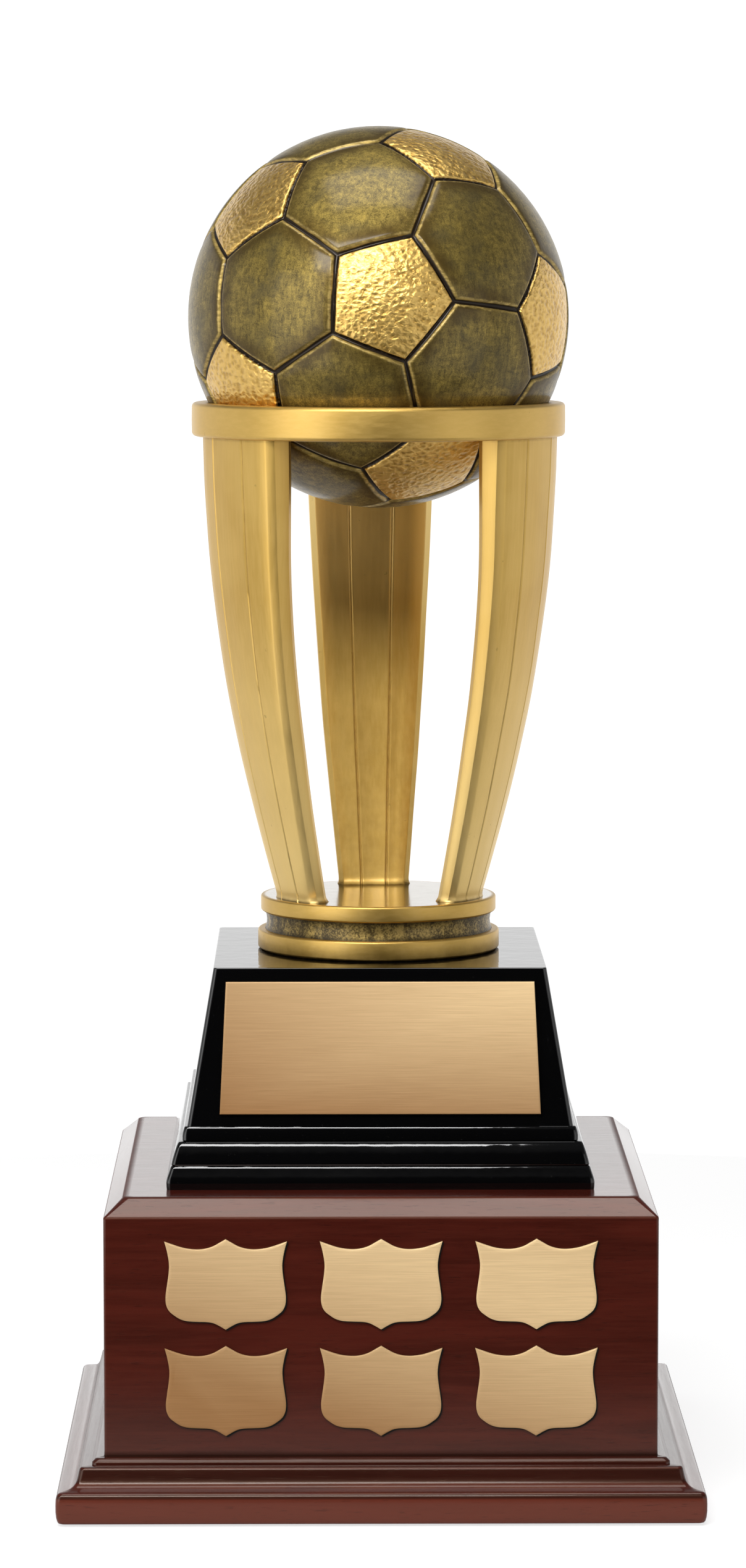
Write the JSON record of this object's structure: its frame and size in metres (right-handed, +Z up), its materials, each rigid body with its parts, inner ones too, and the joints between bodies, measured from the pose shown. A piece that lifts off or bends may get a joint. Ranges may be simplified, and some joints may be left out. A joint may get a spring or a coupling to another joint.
{
  "type": "football tower perpetual trophy",
  "caption": "Football in a ring on three curved legs, on a stepped gloss-black base and a wooden plinth with blank brass shields for engraving.",
  "frame": {"origin": "on the floor under the middle of the square plinth", "axes": "+Z up, -Y is the front with the name plate and the shields, +X is to the right as seen from the front"},
  "size_m": [0.2024, 0.2024, 0.4335],
  "materials": {
    "ball_finish": "antiqued gold on cast resin, dark bronze six-sided panels, bright hammered five-sided panels, gloss lacquer",
    "gold_finish": "satin gold metallised resin under clear lacquer",
    "collar_patina": "dark patina with gold rubbed through",
    "inner_hoop": "plain moulded plastic, hidden",
    "black_lacquer": "black piano lacquer on fibreboard",
    "brushed_brass": "horizontally brushed, bevelled edge",
    "rosewood": "dark red-brown rosewood veneer, semi-gloss lacquer",
    "bare_wood": "unfinished fibreboard and softwood, hidden",
    "felt": "self-adhesive felt",
    "steel": "zinc-plated"
  },
  "bodies": {
    "root": {"ball_locating_hoop": "inner_hoop", "ball_shell_lower": "ball_finish", "ball_shell_upper": "ball_finish", "base_body": "black_lacquer", "base_step_1": "black_lacquer", "base_step_2": "black_lacquer", "base_step_3": "black_lacquer", "corner_block_back_left": "bare_wood", "corner_block_back_right": "bare_wood", "corner_block_front_left": "bare_wood", "corner_block_front_right": "bare_wood", "floor_screw_back_left": "steel", "floor_screw_back_right": "steel", "floor_screw_front_left": "steel", "floor_screw_front_right": "steel", "foot_collar": "collar_patina", "foot_lower_disc": "gold_finish", "foot_pad_back_left": "felt", "foot_pad_back_right": "felt", "foot_pad_front_left": "felt", "foot_pad_front_right": "felt", "foot_upper_disc": "gold_finish", "leg_left": "gold_finish", "leg_rear": "gold_finish", "leg_right": "gold_finish", "lid_screw_back_left": "steel", "lid_screw_back_right": "steel", "lid_screw_front_left": "steel", "lid_screw_front_right": "steel", "name_plate": "brushed_brass", "plinth_floor_board": "bare_wood", "plinth_lid": "rosewood", "plinth_panel_back": "rosewood", "plinth_panel_front": "rosewood", "plinth_panel_left": "rosewood", "plinth_panel_right": "rosewood", "shield_lower_left": "brushed_brass", "shield_lower_middle": "brushed_brass", "shield_lower_right": "brushed_brass", "shield_upper_left": "brushed_brass", "shield_upper_middle": "brushed_brass", "shield_upper_right": "brushed_brass", "skirt_back": "rosewood", "skirt_front": "rosewood", "skirt_left": "rosewood", "skirt_right": "rosewood", "support_ring": "gold_finish", "tie_nut": "steel", "tie_stud": "steel", "tie_washer": "steel"}
  },
  "joints": []
}
